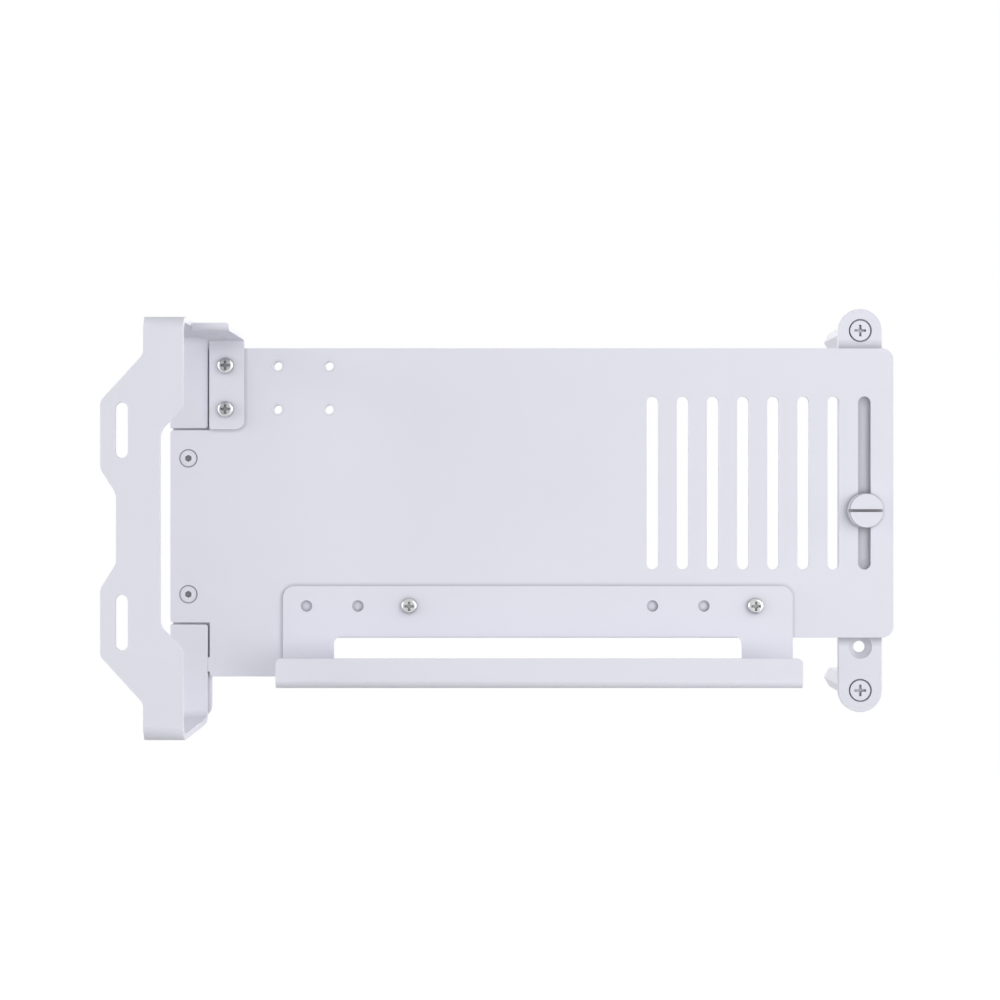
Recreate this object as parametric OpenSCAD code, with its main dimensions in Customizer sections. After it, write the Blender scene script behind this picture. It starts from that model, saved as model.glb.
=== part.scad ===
// Vertical graphics card mount. Folded sheet-steel pieces hold a graphics card
// upright in front of a plate. The ears at one end screw to the expansion-slot
// ledge of a computer case, and two posts at the other end stand on the mainboard.
// X runs from the ears to the far end of the card, Y from the viewer to the
// mainboard, and Z up. The origin is midway between the two ear slots, on the
// rear face of the ears, which seats on the ledge.

/* [Sheet thickness] */
// Thickness of the ear bracket and of the main plate, which lie flush
frame_t = 2; // [1.5:0.1:2.5]
// Thickness of the backing plate
backing_t = 2; // [1.5:0.1:2.5]
// Thickness of the riser tray and of the card tab bracket
tray_t = 1.5; // [1.2:0.1:2]
// Thickness of the support bar
bar_t = 3; // [2.8:0.1:4]

/* [Ear bracket] */
// Clear depth from the rear face of the ears to the front face of the main plate
bracket_depth = 57; // [48:0.5:66]
// Height of the bracket over both webs
bracket_h = 135; // [125:0.5:145]
// Inner radius of its four bends
ear_bend_r = 3.2; // [1.5:0.1:5]
// Distance between the ear slots, three expansion slots apart
ear_slot_pitch = 60.96; // [56:0.01:66]
// Width of an ear slot
ear_slot_w = 4; // [3.6:0.1:5]
// Length of an ear slot over its round ends
ear_slot_len = 17.6; // [12:0.1:19]
// Height of the middle of the ear slots over the middle of the bracket
ear_slot_rise = 0.7; // [-1.5:0.1:1.5]
// Reach of the ears outwards from the line of the ear slots
ear_reach = 6.8; // [5:0.1:10]
// Length of an ear from its slot's centre to its outer corner
ear_outer_len = 9.9; // [9.7:0.1:12]
// Length of an ear from its slot's centre to its inner corner
ear_inner_len = 11.4; // [10:0.1:13]
// Distance from the line of the ear slots to the waist
waist_x = -1.8; // [-4:0.1:0]
// Width of the waist between the ears
waist_w = 14; // [10:0.1:16]
// Height of the slope between an ear and the waist
waist_slope_h = 8; // [5:0.1:11]
// Distance from the line of the ear slots to the neck
neck_x = 6.8; // [5:0.1:9]
// Width of the neck
neck_w = 12.7; // [12.4:0.1:16]
// Step by which the webs and feet reach past the neck on the left
web_reach = 0.7; // [0.3:0.1:1]
// Height of the outer slope from an ear up to the neck
neck_slope_h = 14.9; // [11:0.1:17]
// Height of the inner slope from the waist to the neck
inner_slope_h = 7.4; // [6:0.1:10]
// Distance of the inner slope's end from the ear's outer corner
inner_slope_drop = 2; // [1:0.1:3]
// Radius at both ends of the inner slopes
inner_slope_r = 5.2; // [2:0.1:6]
// Radius that rounds the corners of the ears and the waist
ear_corner_r = 3.5; // [1:0.1:4]
// Radius of the feet's and the notches' corners
foot_corner_r = 1; // [0.5:0.1:1.5]
// Height of the gap between the two feet
feet_gap = 67.7; // [62:0.1:72]
// Step by which the right edge of the feet is set in from the web
foot_relief = 0.5; // [0.3:0.1:1]
// Length of that step along the web
foot_relief_len = 10; // [6:0.5:14]

/* [Backing plate] */
// Inset of the backing plate from the left edge of the feet
backing_inset = 0.6; // [0.2:0.1:1.5]
// Width of the backing plate
backing_w = 13.4; // [13:0.1:16]
// Inset of its ends from the webs' outer faces
backing_end_inset = 1.4; // [0.5:0.1:4]
// Radius of its corners
backing_corner_r = 4; // [1:0.1:5]

/* [Main plate] */
// Distance from the line of the ear slots to the plate's right edge
plate_right = 255.5; // [250:0.5:275]
// Depth of the top edge under the top of the bracket
plate_top_drop = 6.1; // [3.5:0.1:9]
// Depth of the bottom edge under the middle of the bracket, at the right
plate_bottom = 38.4; // [36:0.1:39]
// Depth of the bottom edge at the left, beside the lower foot
plate_skirt = 51.8; // [46:0.1:52]
// Distance from the line of the ear slots to the end of that skirt
skirt_right = 53.8; // [48:0.1:58]
// Radius of the plate's right corners
plate_corner_r = 4; // [1:0.1:5]
// Slit between the plate and the feet
plate_slit = 0.7; // [0.5:0.1:1]
// Width of the locating nib that closes the slit beside the lower foot
nib_len = 5; // [3:0.1:7]
// Height of the middle of the nib over the skirt's bottom edge
nib_rise = 4.2; // [3.7:0.1:5]

/* [Vent slots and long slot] */
// Number of vent slots
vent_count = 7; // [3:1:7]
// Distance from one vent slot to the next
vent_pitch = 10.4; // [8:0.1:10.6]
// Width of a vent slot
vent_w = 4; // [2:0.1:5]
// Distance from the first vent slot to the long slot
vent_first_back = 73.1; // [72:0.1:76]
// Length of the vent slots and the long slot over their round ends
slot_run = 59.7; // [50:0.1:66]
// Height of the middle of these slots over the middle of the bracket
slot_run_z = 14.95; // [10:0.05:20]
// Distance from the plate's right edge to the long slot
long_slot_back = 10; // [9:0.1:13]
// Width of the long slot
long_slot_w = 4.4; // [4.1:0.1:5]

/* [Card tab bracket] */
// Width of the card tab bracket
tab_w = 12; // [11:0.1:13]
// Gap between the card tab bracket and the web of the ear bracket
tab_gap = 0.25; // [0.2:0.05:0.5]
// Depth of its ledge in front of the main plate
ledge_depth = 42.5; // [38:0.1:46]
// Depth of the top face of the ledge under the top of the bracket
ledge_drop = 1.9; // [0.5:0.1:3]
// Height of the turned-up lip over the top of the ledge
ledge_lip = 1; // [0.8:0.1:3]
// Inner radius of the bend between the ledge and that lip
ledge_lip_r = 0.8; // [0.3:0.1:1]
// Radius of that lip's upper corners
ledge_lip_corner_r = 1; // [0.3:0.1:1]
// Length of the strip below the lower tab screw
strip_tail = 6.9; // [5.5:0.1:8.5]
// Radius of the strip's lower right corner
strip_right_r = 3; // [0.5:0.1:4]
// Radius of the strip's lower left corner
strip_left_r = 1; // [0.5:0.1:4]
// Distance between the card screws on the ledge, one expansion slot apart
card_screw_pitch = 20.32; // [18:0.01:22]
// Distance from the main plate's front face to the first card screw
card_screw_back = 10.5; // [8:0.1:12]

/* [Riser tray] */
// Distance from the line of the ear slots to the tray's left end
tray_x = 45.1; // [43:0.1:47]
// Length of the tray
tray_len = 175.5; // [173:0.1:180]
// Depth of the tray in front of the main plate
tray_depth = 25.7; // [20:0.1:30]
// Depth of the tray's upper edge under the middle of the bracket
tray_top = 20.5; // [18:0.1:22]
// Depth of the floor's lower face under the middle of the bracket
tray_floor = 53.7; // [51:0.1:57]
// Height of the front lip over the floor's lower face
tray_lip_h = 10; // [7:0.1:13]
// Inner radius of the bends of the tray and of the card tab bracket
tray_bend_r = 1.3; // [0.5:0.1:2]
// Radius of the tray's upper corners
tray_corner_r = 4; // [1:0.1:5]
// Radius of the lip's upper corners
lip_corner_r = 1.8; // [0.5:0.1:3]
// Distance from the tray's ends to its cable window
window_inset = 17.5; // [16:0.1:20]
// Depth of the window's upper edge under the middle of the bracket
window_top = 38; // [36:0.1:40]
// Radius of the window's upper corners
window_corner_r = 2.5; // [0.5:0.1:4]
// Distance between the riser screws in the floor
riser_screw_pitch = 105; // [80:1:130]

/* [Screw positions] */
// Step between the positions in which the tab bracket and the tray can be fixed
shift_pitch = 17.7; // [15:0.1:18]
// Depth of the upper tab screws under the plate's top edge
tab_screw_drop = 6.1; // [4.4:0.1:7.9]
// Distance from the tab bracket's left edge to its screws
tab_screw_inset = 5.7; // [5.2:0.1:6.5]
// Distance between the two tab screws
tab_screw_pitch = 15; // [12:0.1:16]
// Depth of the tray screws under the tray's upper edge
tray_screw_drop = 6.9; // [6:0.1:8]
// Distance from the tray's left end to its first screw hole
tray_screw_inset = 8.1; // [7:0.1:9]
// Distance between the two tray screws
tray_screw_pitch = 119.1; // [110:0.1:125]
// Distance between the two hex-socket plate screws
plate_screw_pitch = 46.9; // [36:0.1:54]
// Distance from the plate's left edge to the plate screws
plate_screw_inset = 6.2; // [5.7:0.1:7.7]

/* [Support bar and posts] */
// Distance between the two mainboard posts
post_pitch = 124.46; // [116:0.01:134]
// Width of the support bar
bar_w = 15; // [13:0.1:16]
// Distance from a post to the free hole beside it
bar_hole_step = 15; // [10:0.1:20]
// Distance from the long slot to the middle of the bar, to the left
bar_offset = 1.1; // [0:0.1:2]
// Height of the middle of the bar over the middle of the bracket
bar_z = 5.45; // [2:0.05:9]
// Length of a post between the bar and the mainboard
post_len = 52; // [40:0.5:60]
// Width of a post across its flats
post_flats = 7; // [6:0.1:8]
// Length of the stud at the far end of a post
post_stud_len = 6; // [4:0.1:8]
// Chamfer on the ends of the posts and studs
post_chamfer = 0.4; // [0.2:0.1:0.6]

/* [Small screws and nuts] */
// Nominal thread diameter of the small screws
small_d = 3; // [2.5:0.1:3.2]
// Gap between a thread and its hole, measured on the radius
thread_gap = 0.05; // [0.02:0.01:0.08]
// Length of the small screws below the head
small_len = 6; // [5.5:0.1:8]
// Gap around a screw in a plain hole, measured on the radius
hole_gap = 0.45; // [0.2:0.05:0.5]
// Diameter of a pan head
pan_d = 5.6; // [5:0.1:6]
// Height of a pan head
pan_h = 1.9; // [1.4:0.1:2.2]
// Radius of the rounded edge of a pan head
pan_edge_r = 1; // [0.5:0.1:1.2]
// Diameter of a countersunk hex-socket head
hex_head_d = 5.6; // [5.2:0.1:6]
// Diameter of the flat middle of that head
hex_flat_d = 3.4; // [2.8:0.1:4]
// Fall of the head's top from its flat middle to its edge
hex_fall = 0.15; // [0.05:0.05:0.2]
// Diameter of the countersinks in the main plate
plate_sink_d = 6.4; // [6.1:0.1:6.6]
// Depth of the straight rim of these countersinks
plate_sink_rim = 0.3; // [0.2:0.1:0.5]
// Depth of the countersunk heads under the surface
head_sink = 0.1; // [0.05:0.05:0.3]
// Width of the hex socket across its flats
hex_socket = 2.1; // [1.5:0.1:2.2]
// Depth of the hex socket
hex_socket_depth = 1.4; // [0.8:0.1:1.6]
// Diameter of the shank that a clinch nut presses into its sheet
nut_shank_d = 4.2; // [3.9:0.1:4.6]
// Diameter of a clinch nut's body
nut_d = 6.3; // [5.6:0.1:7]
// Height of a clinch nut's body behind its sheet
nut_h = 1.9; // [1.5:0.1:2.5]
// Chamfer at the tip of a screw
tip_chamfer = 0.3; // [0.1:0.1:0.5]
// Chamfer at the mouth of a tapped hole
mouth_chamfer = 0.25; // [0.1:0.05:0.4]
// Width of a cross recess over its arms
cross_w = 3.2; // [2.6:0.1:3.6]
// Width of an arm of a cross recess
cross_arm = 0.85; // [0.5:0.05:1]
// Depth of the arms of a cross recess
cross_depth = 1.2; // [0.8:0.1:1.3]
// Radius of the round core of a cross recess at the top of the head
cross_core_r = 0.8; // [0.5:0.05:1]
// Depth of the pointed core of a cross recess
cross_core_depth = 1.5; // [1.3:0.1:1.7]

/* [Bar screws] */
// Nominal thread diameter of the bar screws, posts and card screws
bar_thread_d = 3.5; // [3:0.1:4]
// Diameter of a bar screw's flat head
bar_head_d = 6.9; // [6.6:0.1:7.2]
// Diameter of the countersinks in the bar
bar_sink_d = 7.9; // [7.6:0.1:8.2]
// Diameter of the holes through the bar
bar_hole_d = 3.9; // [3.8:0.1:4.3]
// Depth of the straight rim of these countersinks
bar_sink_rim = 0.6; // [0.3:0.1:0.8]
// Length of a bar screw over its head
bar_screw_len = 9; // [7:0.1:11]
// Width of the cross recess in a bar screw
bar_cross_w = 4; // [3:0.1:4.4]

/* [Thumb screw] */
// Diameter of the thumb screw's head
thumb_d = 12; // [10:0.1:14]
// Height of the thumb screw's head
thumb_h = 4.8; // [3:0.1:6]
// Radius of the head's rounded edges
thumb_edge_r = 0.4; // [0.2:0.1:0.8]
// Nominal thread diameter of the thumb screw
thumb_thread_d = 4; // [3:0.1:4]
// Length of the thumb screw below its head
thumb_len = 6.5; // [6.5:0.1:9]
// Width of the coin slot
coin_w = 1; // [0.6:0.1:1.6]
// Depth of the coin slot
coin_depth = 2.4; // [1:0.1:2.6]

/* [Hidden] */

$fn = 64;
// Overlap that keeps a cut clear of the face it cuts
eps = 0.5;
// Colours of the coated sheet, the plated screws and the bare nuts
coat = [0.88, 0.88, 0.93];
plated = [0.72, 0.72, 0.74];

// Heights are measured from the middle of the ear slots
mid_z = -ear_slot_rise;
web_top = mid_z + bracket_h / 2;
web_bottom = mid_z - bracket_h / 2;
neck_right = neck_x + neck_w;
foot_right = neck_right - foot_relief;

// Depths of the faces, from the viewer to the mainboard
plate_front = bracket_depth;
plate_back = plate_front + frame_t;
backing_back = plate_back + backing_t;
bar_front = plate_back;
bar_back = bar_front + bar_t;
tray_front = plate_front - tray_t;
post_end = bar_back + post_len;

// Main plate
plate_left = neck_x - web_reach;
plate_top_z = web_top - plate_top_drop;
notch_x = foot_right + plate_slit;
notch_half = feet_gap / 2 - plate_slit;
skirt_z = mid_z - plate_skirt;
long_slot_x = plate_right - long_slot_back;
vent_x = long_slot_x - vent_first_back;
slots_z = mid_z + slot_run_z;
plate_screw_x = plate_left + plate_screw_inset;

// Card tab bracket and its screws
tab_x = neck_right + tab_gap;
tab_screw_x = tab_x + tab_screw_inset;
tab_screw_z = plate_top_z - tab_screw_drop;
strip_z = tab_screw_z - tab_screw_pitch - strip_tail;
ledge_y = plate_front - ledge_depth;
ledge_z = web_top - ledge_drop;

// Riser tray and its screws
tray_right = tray_x + tray_len;
floor_z = mid_z - tray_floor;
tray_screw_z = mid_z - tray_top - tray_screw_drop;
tray_hole_x = tray_x + tray_screw_inset;
tray_screw_x = tray_hole_x + 2 * shift_pitch;
tray_front_y = plate_front - tray_depth;

// Support bar
bar_x = long_slot_x - bar_offset;
bar_mid_z = mid_z + bar_z;
hole_r = small_d / 2 + hole_gap;
small_r = small_d / 2 - thread_gap;
bar_r = bar_thread_d / 2;

// Flat outlines are drawn in X and Z, and folded sections in Y and Z

module along_y(y0, y1) {
    translate([0, y1, 0])
        rotate([90, 0, 0])
            linear_extrude(y1 - y0)
                children();
}

module along_x(x0, x1) {
    translate([x0, 0, 0])
        rotate([90, 0, 90])
            linear_extrude(x1 - x0)
                children();
}

module pin_y(x, z, y0, y1, r) {
    translate([x, y1, z])
        rotate([90, 0, 0])
            cylinder(h = y1 - y0, r = r);
}

// A cone frustum along Y, of radius r0 at y0 and r1 at y1
module cone_y(x, z, y0, y1, r0, r1) {
    translate([x, y1, z])
        rotate([90, 0, 0])
            cylinder(h = y1 - y0, r1 = r1, r2 = r0);
}

// A turned piece whose profile is drawn as radius and distance towards the viewer
module turned(x, y, z) {
    translate([x, y, z])
        rotate([90, 0, 0])
            rotate_extrude()
                children();
}

module box2(x0, x1, z0, z1) {
    translate([x0, z0])
        square([x1 - x0, z1 - z0]);
}

// What rounding takes off a square corner. Turn 0 is a lower left corner,
// 90 a lower right one, 180 an upper right one and 270 an upper left one.
module corner_off(x, z, r, turn) {
    translate([x, z])
        rotate(turn)
            difference() {
                translate([-eps, -eps])
                    square(r + eps);
                translate([r, r])
                    circle(r);
            }
}

module round_box(x0, x1, z0, z1, r) {
    difference() {
        box2(x0, x1, z0, z1);
        corner_off(x0, z0, r, 0);
        corner_off(x1, z0, r, 90);
        corner_off(x1, z1, r, 180);
        corner_off(x0, z1, r, 270);
    }
}

module upright_slot(x, z, w, len) {
    straight = len / 2 - w / 2;
    box2(x - w / 2, x + w / 2, z - straight, z + straight);
    for (side = [-1, 1])
        translate([x, z + side * straight])
            circle(w / 2);
}

function unit(v) = v / norm(v);
function turn_sign(a, v, b) = cross(v - a, b - v);

// The patch between a sharp corner of an outline and the arc that rounds it
module corner_patch(a, v, b, r) {
    to_a = unit(a - v);
    to_b = unit(b - v);
    half = acos(to_a * to_b) / 2;
    run = r / tan(half);
    middle = unit(to_a + to_b);
    centre = v + middle * r / sin(half);
    over = eps / 2;
    difference() {
        polygon([centre, v + to_a * run, v - middle * over, v + to_b * run]);
        translate(centre)
            circle(r);
    }
}

// An outline given anticlockwise, with one radius for each of its corners
module rounded_outline(points, radii) {
    n = len(points);
    difference() {
        union() {
            polygon(points);
            for (i = [0 : n - 1]) {
                a = points[(i + n - 1) % n];
                v = points[i];
                b = points[(i + 1) % n];
                if (radii[i] > 0 && turn_sign(a, v, b) < 0)
                    corner_patch(a, v, b, radii[i]);
            }
        }
        for (i = [0 : n - 1]) {
            a = points[(i + n - 1) % n];
            v = points[i];
            b = points[(i + 1) % n];
            if (radii[i] > 0 && turn_sign(a, v, b) > 0)
                corner_patch(a, v, b, radii[i]);
        }
    }
}

// The front outline of the ear bracket: neck, ear, waist, ear and neck
module ear_outline() {
    ear_x = -ear_reach;
    slot_half = ear_slot_pitch / 2;
    ear_top = slot_half + ear_outer_len;
    ear_low = slot_half - ear_inner_len;
    neck_low = ear_top + neck_slope_h;
    waist_z = ear_low - waist_slope_h;
    waist_right = waist_x + waist_w;
    inner_top = ear_top - inner_slope_drop;
    inner_low = inner_top - inner_slope_h;
    over = bracket_h / 2 + eps;
    upper_left = [
        [neck_x, over], [neck_x, neck_low], [ear_x, ear_top], [ear_x, ear_low], [waist_x, waist_z]
    ];
    upper_right = [[waist_right, inner_low], [neck_right, inner_top], [neck_right, over]];
    lower_left = [for (i = [4 : -1 : 0]) [upper_left[i][0], -upper_left[i][1]]];
    lower_right = [for (i = [2 : -1 : 0]) [upper_right[i][0], -upper_right[i][1]]];
    r = ear_corner_r;
    slope_r = inner_slope_r;
    translate([0, mid_z])
        rounded_outline(
            concat(upper_left, lower_left, lower_right, upper_right),
            [0, r, r, r, r, r, r, r, r, 0, 0, slope_r, slope_r, slope_r, slope_r, 0]
        );
}

// The folded section of the ear bracket: ears, two webs and two feet
module ear_section() {
    outer_r = ear_bend_r + frame_t;
    foot_half = feet_gap / 2;
    difference() {
        round_box(-frame_t, plate_back, web_bottom, web_top, outer_r);
        round_box(0, plate_front, web_bottom + frame_t, web_top - frame_t, ear_bend_r);
        box2(plate_front - eps, plate_back + eps, mid_z - foot_half, mid_z + foot_half);
    }
}

module ear_bracket() {
    foot_half = feet_gap / 2;
    step_y = ear_bend_r + eps;
    relief_y = plate_front - foot_relief_len;
    color(coat)
        difference() {
            intersection() {
                along_x(-ear_reach - eps, neck_right + eps)
                    ear_section();
                union() {
                    along_y(-frame_t - eps, step_y)
                        ear_outline();
                    along_y(step_y, plate_back + eps)
                        box2(plate_left, neck_right, web_bottom - eps, web_top + eps);
                }
            }
            for (side = [-1, 1])
                along_y(-frame_t - eps, eps)
                    upright_slot(0, side * ear_slot_pitch / 2, ear_slot_w, ear_slot_len);
            along_y(relief_y, plate_back + eps)
                box2(foot_right, neck_right + eps, web_bottom - eps, web_top + eps);
            along_y(plate_front - eps / 2, plate_back + eps) {
                corner_off(foot_right, mid_z + foot_half, foot_corner_r, 90);
                corner_off(foot_right, mid_z - foot_half, foot_corner_r, 180);
            }
        }
}

// A strip behind the feet and the plate's tab, with two clinch nuts
module backing_plate() {
    left = plate_left + backing_inset;
    top = web_top - backing_end_inset;
    bottom = web_bottom + backing_end_inset;
    color(coat)
        difference() {
            along_y(plate_back, backing_back)
                round_box(left, left + backing_w, bottom, top, backing_corner_r);
            for (side = [-1, 1])
                pin_y(plate_screw_x, mid_z + side * plate_screw_pitch / 2,
                    plate_back - eps, backing_back + eps, nut_shank_d / 2);
        }
}

// The flat outline of the main plate, with the tab between the feet
module plate_outline() {
    bottom = mid_z - plate_bottom;
    difference() {
        union() {
            box2(plate_left, notch_x + eps, mid_z - notch_half, mid_z + notch_half);
            box2(notch_x, plate_right, bottom, plate_top_z);
            box2(notch_x, skirt_right, skirt_z, bottom + eps);
            box2(foot_right, notch_x + eps, skirt_z + nib_rise - nib_len / 2,
                skirt_z + nib_rise + nib_len / 2);
        }
        corner_off(plate_right, bottom, plate_corner_r, 90);
        corner_off(plate_right, plate_top_z, plate_corner_r, 180);
        corner_off(plate_left, mid_z - notch_half, foot_corner_r, 0);
        corner_off(plate_left, mid_z + notch_half, foot_corner_r, 270);
        corner_off(notch_x, skirt_z, foot_corner_r, 0);
        corner_off(skirt_right, skirt_z, foot_corner_r, 90);
    }
}

module main_plate() {
    sink_r = plate_sink_d / 2;
    cone_front = plate_front + plate_sink_rim;
    color(coat)
        difference() {
            along_y(plate_front, plate_back)
                difference() {
                    plate_outline();
                    for (i = [0 : vent_count - 1])
                        upright_slot(vent_x + i * vent_pitch, slots_z, vent_w, slot_run);
                    upright_slot(long_slot_x, slots_z, long_slot_w, slot_run);
                }
            for (column = [0 : 2], row = [0 : 1])
                pin_y(tab_screw_x + column * shift_pitch, tab_screw_z - row * tab_screw_pitch,
                    plate_front - eps, plate_back + eps, nut_shank_d / 2);
            for (i = [0 : 1])
                pin_y(tray_screw_x + i * tray_screw_pitch, tray_screw_z,
                    plate_front - eps, plate_back + eps, nut_shank_d / 2);
            for (side = [-1, 1]) {
                z = mid_z + side * plate_screw_pitch / 2;
                pin_y(plate_screw_x, z, plate_front - eps, plate_back + eps, hole_r);
                pin_y(plate_screw_x, z, plate_front - eps, cone_front, sink_r);
                cone_y(plate_screw_x, z, cone_front, cone_front + sink_r - hole_r, sink_r, hole_r);
            }
        }
}

// The folded section of the card tab bracket: strip, ledge and lip
module tab_section() {
    outer_r = tray_bend_r + tray_t;
    lip_top = ledge_z + ledge_lip;
    difference() {
        box2(ledge_y, plate_front, strip_z, lip_top);
        difference() {
            box2(ledge_y - eps, plate_front - tray_t, strip_z - eps, ledge_z - tray_t);
            corner_off(plate_front - tray_t, ledge_z - tray_t, tray_bend_r, 180);
        }
        difference() {
            box2(ledge_y + tray_t, plate_front + eps, ledge_z, lip_top + eps);
            corner_off(ledge_y + tray_t, ledge_z, ledge_lip_r, 0);
        }
        corner_off(plate_front, ledge_z, outer_r, 180);
        corner_off(ledge_y, ledge_z - tray_t, ledge_lip_r + tray_t, 0);
    }
}

module card_tab_bracket() {
    right = tab_x + tab_w;
    color(coat)
        difference() {
            along_x(tab_x, right)
                tab_section();
            along_y(plate_front - tray_t - eps, plate_front + eps) {
                corner_off(tab_x, strip_z, strip_left_r, 0);
                corner_off(right, strip_z, strip_right_r, 90);
            }
            along_y(ledge_y - eps, ledge_y + tray_t + eps) {
                corner_off(tab_x, ledge_z + ledge_lip, ledge_lip_corner_r, 270);
                corner_off(right, ledge_z + ledge_lip, ledge_lip_corner_r, 180);
            }
            for (row = [0 : 1])
                pin_y(tab_screw_x, tab_screw_z - row * tab_screw_pitch,
                    plate_front - tray_t - eps, plate_front + eps, hole_r);
            for (i = [0 : 1])
                translate([tab_screw_x, plate_front - card_screw_back - i * card_screw_pitch,
                    ledge_z - tray_t - eps])
                    cylinder(h = tray_t + 2 * eps, r = bar_r);
        }
}

// The folded section of the riser tray: flange, floor and front lip
module tray_section() {
    outer_r = tray_bend_r + tray_t;
    top = mid_z - tray_top;
    lip_top = floor_z + tray_lip_h;
    difference() {
        box2(tray_front_y, plate_front, floor_z, top);
        difference() {
            box2(tray_front_y + tray_t, tray_front, floor_z + tray_t, top + eps);
            corner_off(tray_front_y + tray_t, floor_z + tray_t, tray_bend_r, 0);
            corner_off(tray_front, floor_z + tray_t, tray_bend_r, 90);
        }
        box2(tray_front_y - eps, tray_front_y + tray_t + eps, lip_top, top + eps);
        corner_off(tray_front_y, floor_z, outer_r, 0);
        corner_off(plate_front, floor_z, outer_r, 90);
    }
}

module riser_tray() {
    top = mid_z - tray_top;
    lip_top = floor_z + tray_lip_h;
    bend_y = tray_front - tray_bend_r;
    window_z = mid_z - window_top;
    riser_y = (tray_front_y + tray_t + bend_y) / 2;
    riser_x = tray_x + tray_len / 2;
    color(coat)
        difference() {
            along_x(tray_x, tray_right)
                tray_section();
            along_y(tray_front - eps, plate_front + eps) {
                corner_off(tray_x, top, tray_corner_r, 270);
                corner_off(tray_right, top, tray_corner_r, 180);
            }
            along_y(tray_front_y - eps, tray_front_y + tray_t + eps) {
                corner_off(tray_x, lip_top, lip_corner_r, 270);
                corner_off(tray_right, lip_top, lip_corner_r, 180);
            }
            along_y(bend_y, plate_front + eps)
                difference() {
                    box2(tray_x + window_inset, tray_right - window_inset, floor_z - eps, window_z);
                    corner_off(tray_right - window_inset, window_z, window_corner_r, 180);
                    corner_off(tray_x + window_inset, window_z, window_corner_r, 270);
                }
            for (i = [0 : 1], column = [0 : 2])
                pin_y(tray_hole_x + column * shift_pitch + i * tray_screw_pitch, tray_screw_z,
                    tray_front - eps, plate_front + eps, hole_r);
            for (side = [-1, 1])
                translate([riser_x + side * riser_screw_pitch / 2, riser_y, floor_z - eps])
                    cylinder(h = tray_t + 2 * eps, r = small_d / 2);
        }
}

// The bar behind the plate, with two holes at each end and a tapped middle hole
module support_bar() {
    sink_r = bar_sink_d / 2;
    hole_r = bar_hole_d / 2;
    cone_front = bar_front + bar_sink_rim;
    half = post_pitch / 2;
    color(coat)
        difference() {
            along_y(bar_front, bar_back)
                upright_slot(bar_x, bar_mid_z, bar_w, post_pitch + bar_w);
            for (z = [half, half - bar_hole_step, bar_hole_step - half, -half]) {
                pin_y(bar_x, bar_mid_z + z, bar_front - eps, bar_back + eps, hole_r);
                pin_y(bar_x, bar_mid_z + z, bar_front - eps, cone_front, sink_r);
                cone_y(bar_x, bar_mid_z + z, cone_front, cone_front + sink_r - hole_r,
                    sink_r, hole_r);
            }
            pin_y(long_slot_x, bar_mid_z, bar_front - eps, bar_back + eps,
                thumb_thread_d / 2);
        }
}

// A hexagonal post, tapped at the bar and with a stud at the mainboard
module post(z) {
    corner_r = post_flats / 2 / cos(30);
    bore_depth = bar_screw_len;
    stud_r = bar_r - thread_gap;
    color(coat)
        difference() {
            union() {
                intersection() {
                    along_y(bar_back, post_end)
                        translate([bar_x, z])
                            circle(corner_r, $fn = 6);
                    turned(bar_x, post_end, z)
                        polygon([
                            [0, 0], [corner_r - post_chamfer, 0], [corner_r, post_chamfer],
                            [corner_r, post_len - post_chamfer],
                            [corner_r - post_chamfer, post_len], [0, post_len]
                        ]);
                }
                turned(bar_x, post_end + post_stud_len, z)
                    polygon([
                        [0, 0], [stud_r - post_chamfer, 0], [stud_r, post_chamfer],
                        [stud_r, post_stud_len + eps], [0, post_stud_len + eps]
                    ]);
            }
            pin_y(bar_x, z, bar_back - eps, bar_back + bore_depth, bar_r);
        }
}

// A cross recess cut into the top of a head: two arms and a pointed round core
module cross_cut(x, y, z, width) {
    along_y(y - eps, y + cross_depth)
        translate([x, z]) {
            square([width, cross_arm], center = true);
            square([cross_arm, width], center = true);
        }
    turned(x, y + cross_core_depth, z)
        polygon([
            [0, 0], [cross_core_r, cross_core_depth], [cross_core_r, cross_core_depth + eps],
            [0, cross_core_depth + eps]
        ]);
}

// A flat-headed bar screw, sunk in the bar and screwed into a post
module bar_screw(z) {
    head_r = bar_head_d / 2;
    shank_r = bar_r - thread_gap;
    head_rim = bar_sink_rim + (bar_sink_d - bar_head_d) / 2 - head_sink;
    rim_z = bar_screw_len - head_rim;
    head_y = bar_front + head_sink;
    color(plated)
        difference() {
            turned(bar_x, head_y + bar_screw_len, z)
                polygon([
                    [0, 0], [shank_r - tip_chamfer, 0], [shank_r, tip_chamfer],
                    [shank_r, rim_z - (head_r - shank_r)],
                    [head_r, rim_z], [head_r, bar_screw_len], [0, bar_screw_len]
                ]);
            cross_cut(bar_x, head_y, z, bar_cross_w);
        }
}

// A slotted screw with a tall round head, which clamps the bar to the plate
module thumb_screw() {
    head_r = thumb_d / 2;
    shank_r = thumb_thread_d / 2 - thread_gap;
    edge = thumb_edge_r;
    color(coat)
        difference() {
            union() {
                turned(long_slot_x, plate_front, bar_mid_z)
                    difference() {
                        square([head_r, thumb_h]);
                        corner_off(head_r, 0, edge, 90);
                        corner_off(head_r, thumb_h, edge, 180);
                    }
                turned(long_slot_x, plate_front + thumb_len, bar_mid_z)
                    polygon([
                        [0, 0], [shank_r - tip_chamfer, 0], [shank_r, tip_chamfer],
                        [shank_r, thumb_len + eps], [0, thumb_len + eps]
                    ]);
            }
            along_y(plate_front - thumb_h - eps, plate_front - thumb_h + coin_depth)
                box2(long_slot_x - head_r - eps, long_slot_x + head_r + eps,
                    bar_mid_z - coin_w / 2, bar_mid_z + coin_w / 2);
        }
}

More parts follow.
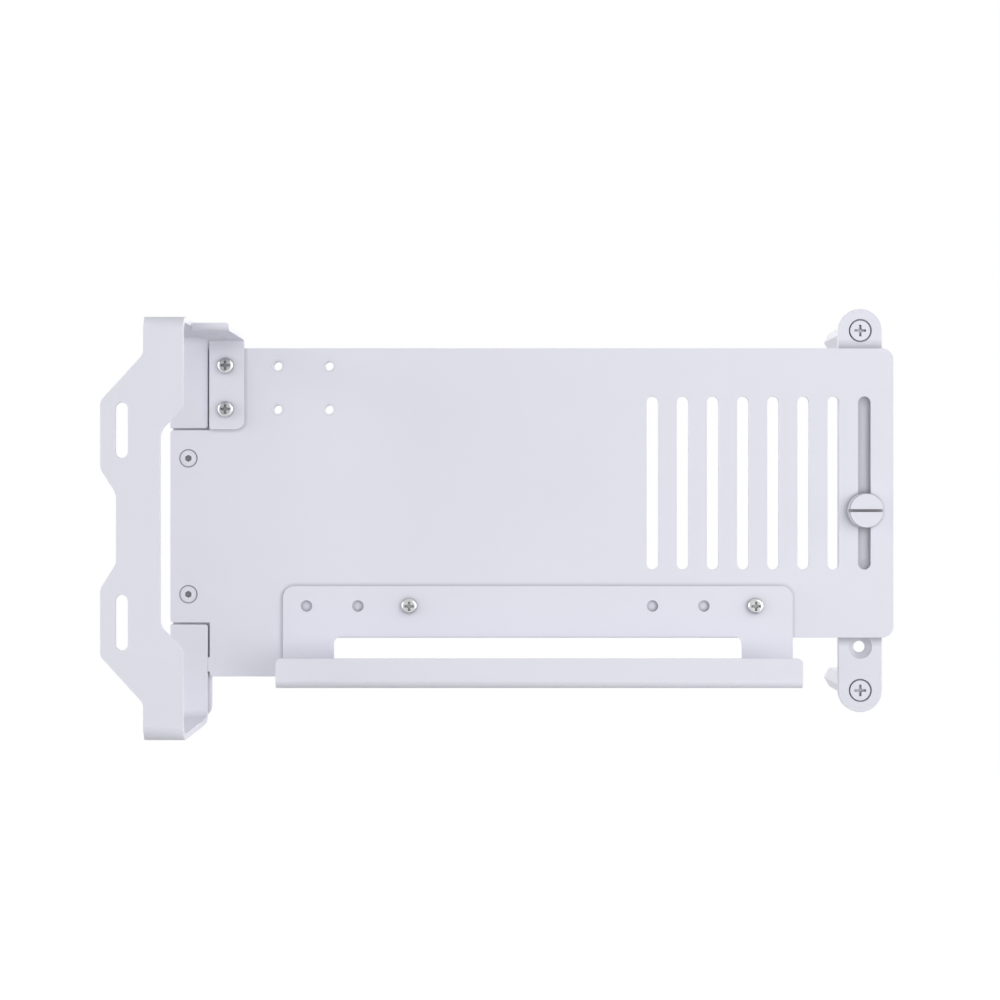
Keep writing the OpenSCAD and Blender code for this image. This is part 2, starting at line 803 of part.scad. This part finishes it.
// A pan-headed screw, through the tray or the tab bracket and into its nut
module pan_screw(x, z) {
    head_r = pan_d / 2;
    color(plated)
        difference() {
            union() {
                turned(x, tray_front, z)
                    difference() {
                        square([head_r, pan_h]);
                        corner_off(head_r, pan_h, pan_edge_r, 180);
                    }
                turned(x, tray_front + small_len, z)
                    polygon([
                        [0, 0], [small_r - tip_chamfer, 0], [small_r, tip_chamfer],
                        [small_r, small_len + eps], [0, small_len + eps]
                    ]);
            }
            cross_cut(x, tray_front - pan_h, z, cross_w);
        }
}

// A countersunk hex-socket screw, through the plate and into the backing nut
module plate_screw(z) {
    head_r = hex_head_d / 2;
    head_rim = plate_sink_rim + (plate_sink_d - hex_head_d) / 2 - head_sink;
    rim_z = small_len - head_rim;
    top_y = plate_front + head_sink;
    color(coat)
        difference() {
            turned(plate_screw_x, top_y + small_len, z)
                polygon([
                    [0, 0], [small_r - tip_chamfer, 0], [small_r, tip_chamfer],
                    [small_r, rim_z - (head_r - small_r)], [head_r, rim_z],
                    [head_r, small_len - hex_fall], [hex_flat_d / 2, small_len], [0, small_len]
                ]);
            along_y(top_y - eps, top_y + hex_socket_depth)
                translate([plate_screw_x, z])
                    rotate(30)
                        circle(hex_socket / 2 / cos(30), $fn = 6);
        }
}

// A clinch nut: its shank fills the hole in the sheet and its body is behind it
module clinch_nut(x, z, sheet_front, sheet_back) {
    bore_r = small_d / 2;
    color(coat)
        difference() {
            union() {
                pin_y(x, z, sheet_front, sheet_back, nut_shank_d / 2);
                pin_y(x, z, sheet_back, sheet_back + nut_h, nut_d / 2);
            }
            pin_y(x, z, sheet_front - eps, sheet_back + nut_h + eps, bore_r);
            cone_y(x, z, sheet_front - eps, sheet_front + mouth_chamfer,
                bore_r + mouth_chamfer + eps, bore_r);
        }
}

module tab_nut(index) {
    column = index % 3;
    row = floor(index / 3);
    clinch_nut(tab_screw_x + column * shift_pitch, tab_screw_z - row * tab_screw_pitch,
        plate_front, plate_back);
}

module tray_nut(index) {
    clinch_nut(tray_screw_x + index * tray_screw_pitch, tray_screw_z, plate_front, plate_back);
}

module backing_nut(side) {
    clinch_nut(plate_screw_x, mid_z + side * plate_screw_pitch / 2, plate_back, backing_back);
}

ear_bracket();
backing_plate();
main_plate();
card_tab_bracket();
riser_tray();
support_bar();
post(bar_mid_z + post_pitch / 2);  // upper_post
post(bar_mid_z - post_pitch / 2);  // lower_post
bar_screw(bar_mid_z + post_pitch / 2);  // upper_bar_screw
bar_screw(bar_mid_z - post_pitch / 2);  // lower_bar_screw
thumb_screw();
pan_screw(tab_screw_x, tab_screw_z);  // upper_tab_screw
pan_screw(tab_screw_x, tab_screw_z - tab_screw_pitch);  // lower_tab_screw
pan_screw(tray_screw_x, tray_screw_z);  // left_tray_screw
pan_screw(tray_screw_x + tray_screw_pitch, tray_screw_z);  // right_tray_screw
plate_screw(mid_z + plate_screw_pitch / 2);  // upper_plate_screw
plate_screw(mid_z - plate_screw_pitch / 2);  // lower_plate_screw
tab_nut(0);  // tab_nut_1
tab_nut(1);  // tab_nut_2
tab_nut(2);  // tab_nut_3
tab_nut(3);  // tab_nut_4
tab_nut(4);  // tab_nut_5
tab_nut(5);  // tab_nut_6
tray_nut(0);  // left_tray_nut
tray_nut(1);  // right_tray_nut
backing_nut(1);  // upper_plate_nut
backing_nut(-1);  // lower_plate_nut
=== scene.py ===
"""Looks of the vertical graphics card mount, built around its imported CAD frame."""

import math

import bmesh
import bpy
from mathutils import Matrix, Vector

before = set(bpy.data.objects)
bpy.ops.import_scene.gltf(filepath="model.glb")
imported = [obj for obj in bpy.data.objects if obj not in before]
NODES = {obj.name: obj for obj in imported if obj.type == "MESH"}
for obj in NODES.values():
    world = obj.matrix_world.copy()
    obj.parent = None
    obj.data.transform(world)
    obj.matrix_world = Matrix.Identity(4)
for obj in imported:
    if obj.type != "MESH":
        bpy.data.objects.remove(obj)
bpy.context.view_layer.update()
MM = 0.001

# The camera that fits the photograph, in the row frame
CAMERA_AT = (0.1198, -0.659, 0.008375)
CAMERA_LENS = 74.74
CAMERA_SENSOR = 36.0
CAMERA_NEAR, CAMERA_FAR = 0.01, 50

# Light of the surroundings, and how bright they look to the camera
AMBIENT = 0.33
BACKGROUND = 1.0

# The floor: its height, half its side and the light that it adds to itself where it is seen
FLOOR_AT = (0.12, 0.06, -0.30)
FLOOR_HALF = 1.6
FLOOR_COLOUR = (0.4, 0.4, 0.4, 1)
FLOOR_GLOW = 0.85

# Textures, in cycles per metre: patches and grain of the powder, wear and brushing of the nickel
PATCHES, GRAIN = 18.0, 2600.0
WEAR, BRUSHING = 900.0, 3200.0

# How far from a wall the painted shade in the nickel's crevices reaches
NICKEL_REACH = 1.6 * MM


# ---------------------------------------------------------------- materials

def srgb(r, g, b):
    """A colour written as 0 to 255 screen values, in linear light."""
    def one(c):
        c = c / 255
        return c / 12.92 if c <= 0.04045 else ((c + 0.055) / 1.055) ** 2.4
    return (one(r), one(g), one(b), 1.0)


class Nodes:
    """A short way to write a material's node tree."""

    def __init__(self, name):
        self.material = bpy.data.materials.new(name)
        self.material.use_nodes = True
        self.tree = self.material.node_tree
        self.shader = self.tree.nodes["Principled BSDF"]

    def fill(self, socket, value):
        if isinstance(value, bpy.types.NodeSocket):
            self.tree.links.new(value, socket)
        else:
            socket.default_value = value

    def add(self, kind, inputs=None, **values):
        node = self.tree.nodes.new(kind)
        for key, value in values.items():
            setattr(node, key, value)
        for key, value in (inputs or {}).items():
            self.fill(node.inputs[key], value)
        return node

    def set(self, **values):
        for key, value in values.items():
            self.fill(self.shader.inputs[key.replace("_", " ")], value)

    def place(self):
        return self.add("ShaderNodeTexCoord").outputs["Object"]

    def noise(self, scale, detail=2.0, rough=0.5):
        return self.add(
            "ShaderNodeTexNoise",
            {"Vector": self.place(), "Scale": scale, "Detail": detail, "Roughness": rough},
        ).outputs["Fac"]

    def ramp(self, value, start, end, low, high):
        """Turns values from start to end into values from low to high."""
        return self.add(
            "ShaderNodeMapRange",
            {"Value": value, "From Min": start, "From Max": end, "To Min": low, "To Max": high},
        ).outputs["Result"]

    def mix(self, factor, a, b, how="MIX"):
        return self.add(
            "ShaderNodeMix",
            {"Factor": factor, "A": a, "B": b},
            data_type="RGBA", blend_type=how,
        ).outputs["Result"]

    def paint_crevice_shade(self, colour, reach, darkest, closed=0.0):
        """Paints shade into a colour in slots, recesses and the corners round a screw, where
        less light reaches.
        """
        free = self.add("ShaderNodeAmbientOcclusion", {"Distance": reach}, samples=8)
        shade = self.ramp(free.outputs["AO"], closed, 1.0, darkest, 1.0)
        return self.mix(1.0, colour, shade, "MULTIPLY")

    def painted_rim_shade(self, colour, middle, radius, width, shade):
        """Paints shade along a turned head's edge as a thin line, darker than its face."""
        def vector(how, *inputs):
            return self.add("ShaderNodeVectorMath", dict(enumerate(inputs)), operation=how)
        out = vector("SUBTRACT", self.place(), middle).outputs[0]
        flat = vector("MULTIPLY", out, (1, 0, 1)).outputs[0]
        reach = vector("LENGTH", flat).outputs["Value"]
        edge = self.ramp(reach, radius - width, radius - width / 3, 0.0, 1.0)
        depth = self.add("ShaderNodeSeparateXYZ", {0: out}).outputs["Y"]
        front = self.ramp(depth, width / 2, width, 1.0, 0.0)
        line = self.add("ShaderNodeMath", {0: edge, 1: front}, operation="MULTIPLY").outputs[0]
        return self.mix(1.0, colour, self.ramp(line, 0.0, 1.0, 1.0, shade), "MULTIPLY")

    def bump(self, height, strength, distance):
        return self.add(
            "ShaderNodeBump", {"Height": height, "Strength": strength, "Distance": distance}
        ).outputs["Normal"]


def powder_coat(name, reach, darkest, closed=0.0, painted_rim_shade=None):
    """The pale satin coat, with shade painted into its crevices: the painted shade reaches as
    far as reach and darkens to darkest.
    """
    m = Nodes(name)
    grain = m.noise(GRAIN, 2.0, 0.6)
    tone = m.mix(m.noise(PATCHES, 3.0), srgb(226, 226, 236), srgb(230, 230, 240))
    # Painted shade along a turned head's edge, where one is given.
    if painted_rim_shade:
        tone = m.painted_rim_shade(tone, *painted_rim_shade)
    m.set(
        # The base colour carries painted shade in the coat's slots, recesses and corners.
        Base_Color=m.paint_crevice_shade(tone, reach, darkest, closed),
        Roughness=m.ramp(grain, 0.0, 1.0, 0.42, 0.54),
        IOR=1.48,
        Normal=m.bump(grain, 0.10, 0.05 * MM),
    )
    return m.material


def nickel(name, low, high, rough, darkest):
    """Plated steel, with a tone between low and high, and shade painted into its crevices down
    to darkest.
    """
    m = Nodes(name)
    wear = m.noise(WEAR, 3.0)
    m.set(
        # The base colour carries painted shade in the crevices round the heads.
        Base_Color=m.paint_crevice_shade(m.mix(wear, low, high), NICKEL_REACH, darkest),
        Metallic=1.0,
        Roughness=m.ramp(wear, 0.0, 1.0, rough, rough + 0.1),
        Normal=m.bump(m.noise(BRUSHING), 0.08, 0.03 * MM),
    )
    return m.material


def turned_head(obj):
    """The middle of a turned head's front face, and its radius."""
    xs, ys, zs = zip(*(v.co for v in obj.data.vertices))
    middle = ((min(xs) + max(xs)) / 2, min(ys), (min(zs) + max(zs)) / 2)
    return middle, (max(xs) - min(xs)) / 2


# Copies of one coat that differ only in painted shade: how far from a wall each one's painted
# shade reaches, and its painted shade in the deepest corner
COAT = powder_coat("powder_coat", 0.7 * MM, 0.45)
COAT_PLATE = powder_coat("powder_coat_plate", 1.5 * MM, 0.42)
COAT_FOLD = powder_coat("powder_coat_fold", 9.0 * MM, 0.6)
COAT_BAR = powder_coat("powder_coat_bar", 3.5 * MM, 0.6, closed=0.7)
COAT_SOCKET = powder_coat("powder_coat_socket", 4.0 * MM, 0.22)
# The thumb screw's coat also carries a painted shade line along its head's edge.
COAT_THUMB = powder_coat(
    "powder_coat_thumb", 4.0 * MM, 0.28,
    painted_rim_shade=(*turned_head(NODES["thumb_screw"]), 0.4 * MM, 0.45),
)
BRIGHT = nickel("nickel_plate", srgb(188, 188, 190), srgb(212, 212, 214), 0.20, 0.18)
SATIN = nickel("satin_nickel", srgb(186, 186, 194), srgb(196, 196, 204), 0.42, 0.5)

FINISH = {
    "main_plate": COAT_PLATE,
    "riser_tray": COAT_FOLD,
    "card_tab_bracket": COAT_FOLD,
    "support_bar": COAT_BAR,
    "thumb_screw": COAT_THUMB,
    "upper_plate_screw": COAT_SOCKET,
    "lower_plate_screw": COAT_SOCKET,
    "upper_bar_screw": SATIN,
    "lower_bar_screw": SATIN,
    "upper_tab_screw": BRIGHT,
    "lower_tab_screw": BRIGHT,
    "left_tray_screw": BRIGHT,
    "right_tray_screw": BRIGHT,
}

# Width of the rounding of the edges, in millimetres
EDGES = {
    "ear_bracket": 0.25,
    "backing_plate": 0.25,
    "main_plate": 0.25,
    "card_tab_bracket": 0.25,
    "riser_tray": 0.25,
    "support_bar": 0.25,
    "thumb_screw": 0.22,
    "upper_post": 0.2,
    "lower_post": 0.2,
}


def soften(obj, width):
    """Rounds an object's edges without changing its mesh."""
    weld = obj.modifiers.new("weld", "WELD")
    weld.merge_threshold = 0.001 * MM
    flat = obj.modifiers.new("flat", "DECIMATE")
    flat.decimate_type = "DISSOLVE"
    flat.angle_limit = math.radians(0.5)
    bevel = obj.modifiers.new("bevel", "BEVEL")
    bevel.width = width
    bevel.segments = 2
    bevel.limit_method = "ANGLE"
    bevel.angle_limit = math.radians(40)
    bevel.harden_normals = True
    bevel.use_clamp_overlap = True


for name, node in NODES.items():
    node.data.materials.clear()
    node.data.materials.append(FINISH.get(name, COAT))

for name, width in EDGES.items():
    soften(NODES[name], width * MM)


# ---------------------------------------------------------------- camera

def put(name, data, at):
    """Places a new object with this data in the scene."""
    obj = bpy.data.objects.new(name, data)
    obj.location = at
    bpy.context.scene.collection.objects.link(obj)
    return obj


camera_data = bpy.data.cameras.new("camera")
camera_data.lens = CAMERA_LENS
camera_data.sensor_width = CAMERA_SENSOR
camera_data.clip_start = CAMERA_NEAR
camera_data.clip_end = CAMERA_FAR
camera = put("camera", camera_data, CAMERA_AT)
camera.rotation_euler = (math.radians(90), 0, 0)
bpy.context.scene.camera = camera


# ---------------------------------------------------------------- stage and light

def where_seen(tree):
    """1 for rays of the camera, of reflections and through glass, and 0 for all other light."""
    path = tree.nodes.new("ShaderNodeLightPath")
    total = path.outputs["Is Camera Ray"]
    for name in ("Is Glossy Ray", "Is Transmission Ray"):
        either = tree.nodes.new("ShaderNodeMath")
        either.operation = "MAXIMUM"
        tree.links.new(total, either.inputs[0])
        tree.links.new(path.outputs[name], either.inputs[1])
        total = either.outputs[0]
    return total


def choose(tree, unseen, seen, end):
    """One shader for the light that falls on things, and another for what is seen."""
    pick = tree.nodes.new("ShaderNodeMixShader")
    tree.links.new(where_seen(tree), pick.inputs[0])
    tree.links.new(unseen.outputs[0], pick.inputs[1])
    tree.links.new(seen.outputs[0], pick.inputs[2])
    tree.links.new(pick.outputs[0], tree.nodes[end].inputs["Surface"])


# The surroundings: plain white where they are seen
world = bpy.data.worlds.new("studio")
bpy.context.scene.world = world
world.use_nodes = True
ambient = world.node_tree.nodes["Background"]
plain = world.node_tree.nodes.new("ShaderNodeBackground")
for background, strength in ((ambient, AMBIENT), (plain, BACKGROUND)):
    background.inputs["Color"].default_value = (1, 1, 1, 1)
    background.inputs["Strength"].default_value = strength
choose(world.node_tree, ambient, plain, "World Output")

# The floor
mesh = bpy.data.meshes.new("floor")
bm = bmesh.new()
bmesh.ops.create_grid(bm, x_segments=2, y_segments=2, size=FLOOR_HALF)
bm.to_mesh(mesh)
bm.free()
floor = put("floor", mesh, FLOOR_AT)
pale = Nodes("pale_floor")
pale.set(Base_Color=FLOOR_COLOUR, Roughness=0.9)
glow = pale.add("ShaderNodeEmission", {"Color": (1, 1, 1, 1), "Strength": FLOOR_GLOW})
both = pale.add("ShaderNodeAddShader", {0: pale.shader.outputs[0], 1: glow.outputs[0]})
choose(pale.tree, pale.shader, both, "Material Output")
floor.data.materials.append(pale.material)

# Soft boxes in front, on both sides and behind, turned to the mount's middle:
# place, width and height in metres, and watts
LIT = Vector((0.12, 0.03, 0))
LAMPS = {
    "left_box": ((-1.30, -0.40, 0.16), (1.0, 1.0), 6.6),
    "right_box": ((0.86, -0.80, 0.20), (0.9, 1.1), 5.6),
    "front_box": ((0.12, -1.20, -0.26), (2.4, 0.8), 9.8),
    "left_rim": ((-1.20, 0.14, 0.32), (0.8, 0.8), 4.5),
    "right_rim": ((1.45, 0.12, 0.20), (0.8, 0.8), 6.5),
    "back_box": ((0.12, 1.60, 0.45), (2.4, 0.8), 8.0),
}
for name, (at, size, watts) in LAMPS.items():
    data = bpy.data.lights.new(name, "AREA")
    data.shape = "RECTANGLE"
    data.size, data.size_y = size
    data.energy = watts
    lamp = put(name, data, at)
    lamp.rotation_euler = (LIT - Vector(at)).to_track_quat("-Z", "Y").to_euler()
    lamp.visible_camera = False
    # The flat metal heads mirror the plain surroundings, and not the box in front
    lamp.visible_glossy = name != "front_box"

view = bpy.context.scene.view_settings
view.view_transform = "Standard"
